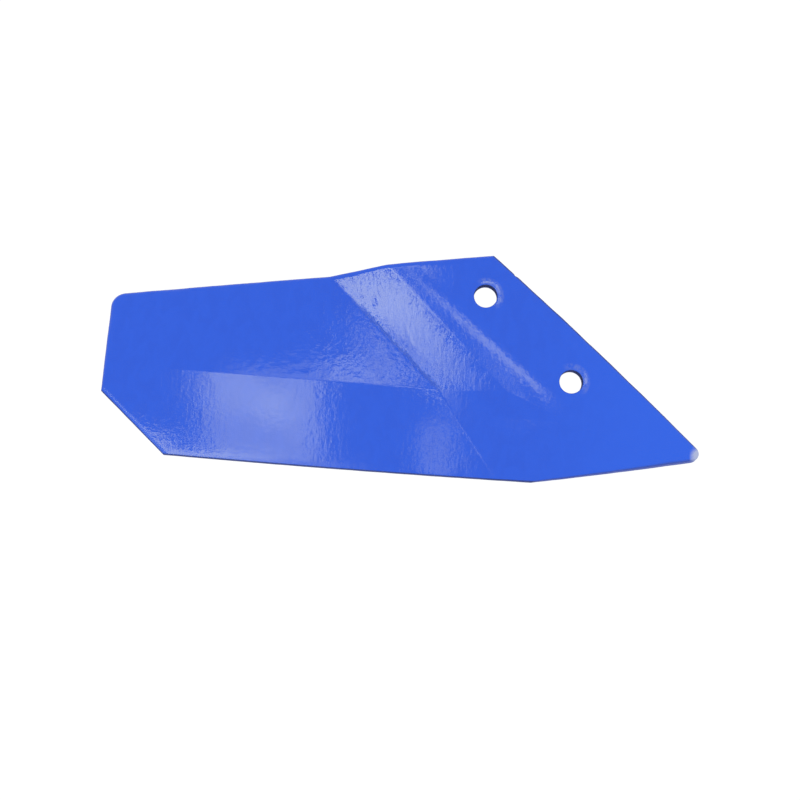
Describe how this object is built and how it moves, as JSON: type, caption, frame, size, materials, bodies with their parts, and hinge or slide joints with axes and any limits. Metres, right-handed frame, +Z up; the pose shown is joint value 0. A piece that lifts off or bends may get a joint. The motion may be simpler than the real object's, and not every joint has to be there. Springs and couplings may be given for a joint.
{
  "type": "plough share",
  "caption": "Cranked plough share: a flat bevelled blade that steps up through a pressed ramp to a raised, pointed nose with countersunk bolt holes.",
  "frame": {"origin": "middle of the footprint, at the height of the blade's flat underside", "axes": "+X runs along the cutting edge from the heel to the nose, +Y from the cutting edge back to the upper edge, +Z up from the underside"},
  "size_m": [0.3478, 0.1304, 0.0225],
  "materials": {
    "share_paint": "gloss"
  },
  "bodies": {
    "root": {"plough_share": "share_paint"}
  },
  "joints": []
}
